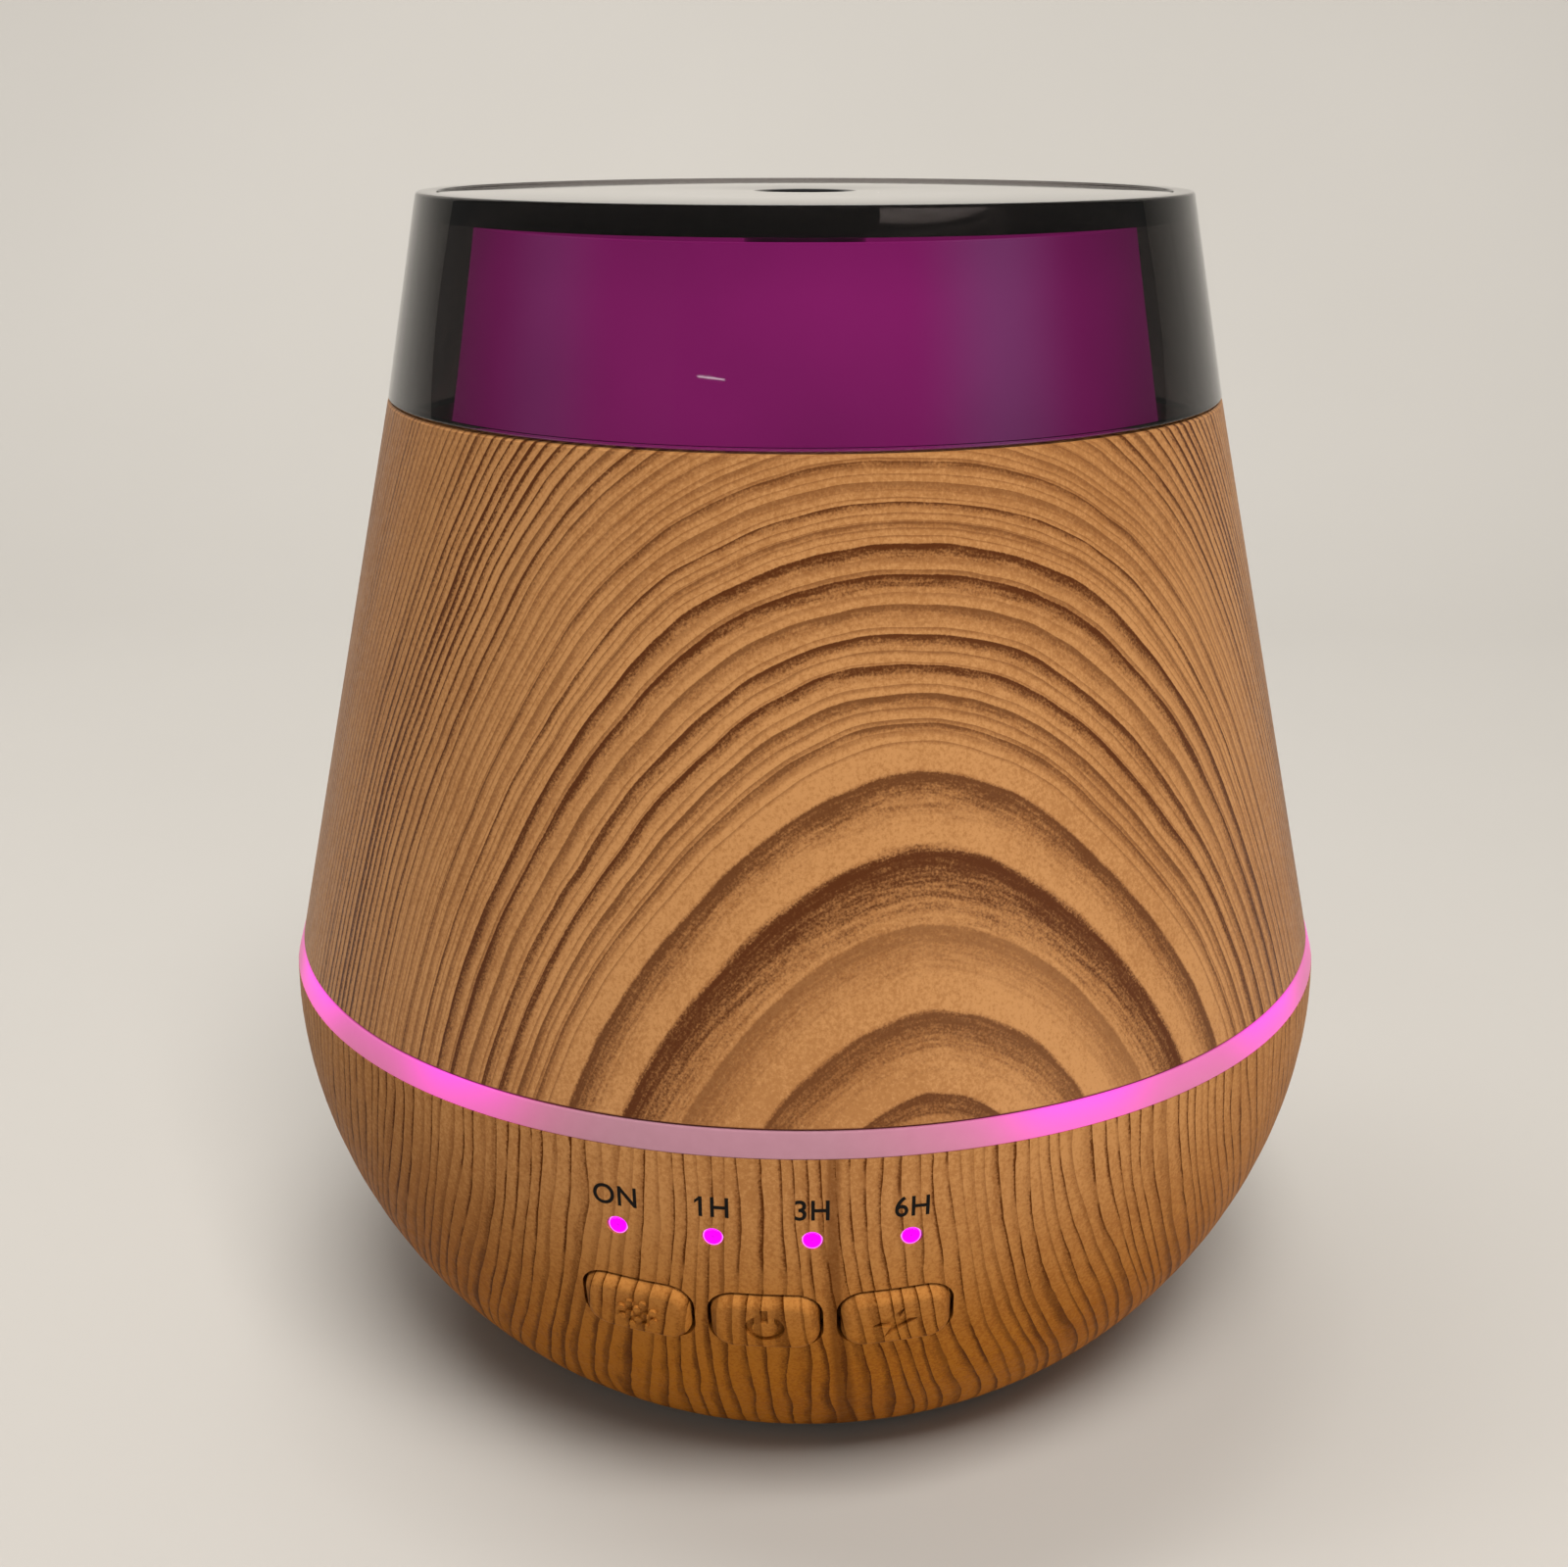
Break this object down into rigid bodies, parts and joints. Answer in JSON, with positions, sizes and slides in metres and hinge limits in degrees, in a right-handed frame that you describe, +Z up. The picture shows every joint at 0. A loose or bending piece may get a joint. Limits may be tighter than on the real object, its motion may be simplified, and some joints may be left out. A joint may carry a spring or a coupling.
{
  "type": "essential oil diffuser",
  "caption": "Vase-shaped essential oil diffuser: wood-print bowl and cone cover, light ring, smoke cap with black top plate and mist hole, front buttons, lift-off cover over a water tank.",
  "frame": {"origin": "centre of the footprint, on the surface that the feet rest on", "axes": "+Z up along the axis of revolution, the buttons face -Y, +X to the right as the user faces the buttons"},
  "size_m": [0.147, 0.147, 0.1608],
  "materials": {
    "wood_print": "satin moulded plastic with a printed wood grain",
    "smoke_plastic": "clear smoke-grey moulded plastic, polished",
    "gloss_black": "piano-black gloss",
    "frosted_ring": "frosted translucent, lit from inside",
    "milky_plastic": "milky translucent polypropylene",
    "white_plastic": "plain moulded",
    "black_plastic": "fine-textured moulded",
    "switch_plunger": "plain moulded",
    "rubber": "soft silicone",
    "screw_steel": "zinc-plated",
    "brass": "plain turned",
    "circuit_board": "glass-fibre board with green solder mask",
    "chip_black": "moulded resin",
    "ferrite": "sintered ferrite",
    "heat_sink_aluminium": "extruded, plain",
    "capacitor_sleeve": "shrink sleeve",
    "clear_guide": "clear moulded, lit magenta from behind",
    "lamp_white": "moulded lamp with a small lens"
  },
  "bodies": {
    "base": {"lower_bowl": "wood_print", "light_ring": "frosted_ring", "water_tank": "milky_plastic", "air_chimney": "milky_plastic", "air_duct": "white_plastic", "board_connectors": "white_plastic", "transducer_clamp": "white_plastic", "bottom_plate": "black_plastic", "fan_housing": "black_plastic", "dc_jack": "black_plastic", "tact_switches": "black_plastic", "rubber_feet": "rubber", "transducer_seal": "rubber", "case_screws": "screw_steel", "clamp_screws": "screw_steel", "fan_screws": "screw_steel", "driver_board_screws": "screw_steel", "panel_screws": "screw_steel", "transducer_disc": "brass", "fan_bearing": "brass", "dc_jack_pin": "brass", "mood_lamp_board": "circuit_board", "driver_board": "circuit_board", "control_board": "circuit_board", "controller_chip": "chip_black", "drive_transistor": "chip_black", "drive_inductor": "ferrite", "heat_sink": "heat_sink_aluminium", "filter_capacitor": "capacitor_sleeve", "light_guide": "clear_guide", "mood_lamps": "lamp_white", "indicator_leds": "lamp_white"},
    "cover": {"cone_cover": "wood_print", "smoke_cap": "smoke_plastic", "top_plate": "gloss_black"},
    "lid": {"inner_lid": "milky_plastic"},
    "fan": {"fan_rotor": "black_plastic", "fan_shaft": "screw_steel", "fan_magnet": "ferrite"},
    "light_key": {"light_button": "wood_print"},
    "power_key": {"power_button": "wood_print"},
    "mist_key": {"mist_button": "wood_print"},
    "light_switch": {"light_switch_plunger": "switch_plunger"},
    "power_switch": {"power_switch_plunger": "switch_plunger"},
    "mist_switch": {"mist_switch_plunger": "switch_plunger"}
  },
  "joints": [
    {"name": "cover_lift", "type": "slide", "parent": "base", "child": "cover", "axis": [0, 0, 1], "range_m": [0, 0.16]},
    {"name": "lid_lift", "type": "slide", "parent": "base", "child": "lid", "axis": [0, 0, 1], "range_m": [0, 0.056]},
    {"name": "fan_spin", "type": "hinge", "parent": "base", "child": "fan", "pos_m": [0, 0.021, 0.012], "axis": [0, 0, 1], "continuous": true},
    {"name": "light_press", "type": "slide", "parent": "base", "child": "light_key", "axis": [0, 0.9463, 0.3234], "range_m": [0, 0.0006], "stiffness_N_per_m": 1000},
    {"name": "power_press", "type": "slide", "parent": "base", "child": "power_key", "axis": [0, 0.9463, 0.3234], "range_m": [0, 0.0006], "stiffness_N_per_m": 1000},
    {"name": "mist_press", "type": "slide", "parent": "base", "child": "mist_key", "axis": [0, 0.9463, 0.3234], "range_m": [0, 0.0006], "stiffness_N_per_m": 1000},
    {"name": "light_click", "type": "slide", "parent": "base", "child": "light_switch", "axis": [0, 0.9463, 0.3234], "range_m": [0, 0.0006]},
    {"name": "power_click", "type": "slide", "parent": "base", "child": "power_switch", "axis": [0, 0.9463, 0.3234], "range_m": [0, 0.0006]},
    {"name": "mist_click", "type": "slide", "parent": "base", "child": "mist_switch", "axis": [0, 0.9463, 0.3234], "range_m": [0, 0.0006]}
  ],
  "couplings": [
    {"joint": "lid_lift", "follows": "cover_lift", "ratio": 0.35},
    {"joint": "light_click", "follows": "light_press", "ratio": 1},
    {"joint": "power_click", "follows": "power_press", "ratio": 1},
    {"joint": "mist_click", "follows": "mist_press", "ratio": 1}
  ]
}
